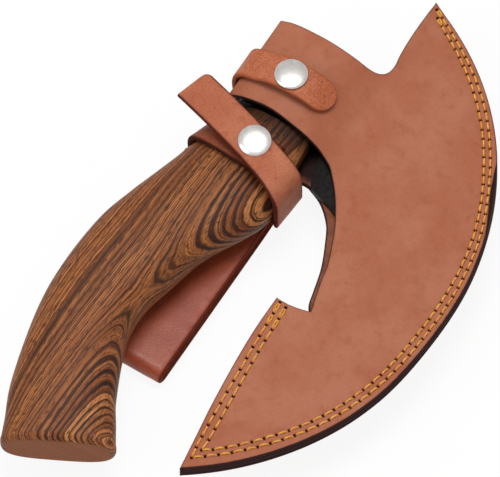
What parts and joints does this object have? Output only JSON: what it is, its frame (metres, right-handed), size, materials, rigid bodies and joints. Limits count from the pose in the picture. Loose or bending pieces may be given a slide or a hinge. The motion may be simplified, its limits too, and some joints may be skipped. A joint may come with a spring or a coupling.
{
  "type": "ulu knife",
  "caption": "Crescent ulu knife on an axe-like wooden handle, held in a sewn leather sheath with snap straps and a belt loop.",
  "frame": {"origin": "middle of the flat back face of the belt loop, behind the handle, where the sheath lies against a hip or a table", "axes": "+X across the handle towards the crescent edge, +Y along the handle from the butt to the eye, +Z out of the back face towards the snaps"},
  "size_m": [0.1396, 0.2523, 0.045],
  "materials": {
    "sheath_leather": "smooth vegetable-tanned leather, satin",
    "strap_leather": "pebbly leather, satin",
    "loop_leather": "glossy leather",
    "oiled_wood": "oiled open-grained hardwood with dark stripes",
    "wedge_wood": "plain pale wood",
    "dark_steel": "blackened, satin",
    "nickel": "polished nickel plate"
  },
  "bodies": {
    "sheathed_knife": {"sheath_front_panel": "sheath_leather", "sheath_back_panel": "sheath_leather", "sheath_welt": "sheath_leather", "blade_head": "dark_steel", "handle": "oiled_wood", "eye_wedge": "wedge_wood", "poll_strap": "strap_leather", "handle_strap": "strap_leather", "belt_loop": "loop_leather", "snap_1_post": "nickel", "snap_1_stud": "nickel", "snap_2_post": "nickel", "snap_2_stud": "nickel", "belt_rivet_1_post": "nickel", "belt_rivet_1_cap": "nickel", "belt_rivet_2_post": "nickel", "belt_rivet_2_cap": "nickel", "strap_rivet_1_post": "nickel", "strap_rivet_1_cap": "nickel", "strap_rivet_2_post": "nickel", "strap_rivet_2_cap": "nickel"},
    "poll_flap": {"poll_strap_flap": "strap_leather", "snap_1_socket": "nickel", "snap_1_cap": "nickel"},
    "handle_flap": {"handle_strap_flap": "strap_leather", "snap_2_socket": "nickel", "snap_2_cap": "nickel"}
  },
  "joints": [
    {"name": "poll_strap_fold", "type": "hinge", "parent": "sheathed_knife", "child": "poll_flap", "pos_m": [-0.01485, 0.0852, 0.03714], "axis": [0, -1, 0], "range_deg": [0, 120]},
    {"name": "handle_strap_fold", "type": "hinge", "parent": "sheathed_knife", "child": "handle_flap", "pos_m": [0.02134, 0.0474, 0.03762], "axis": [-0.1071, 0.9942, 0], "range_deg": [0, 150]}
  ]
}
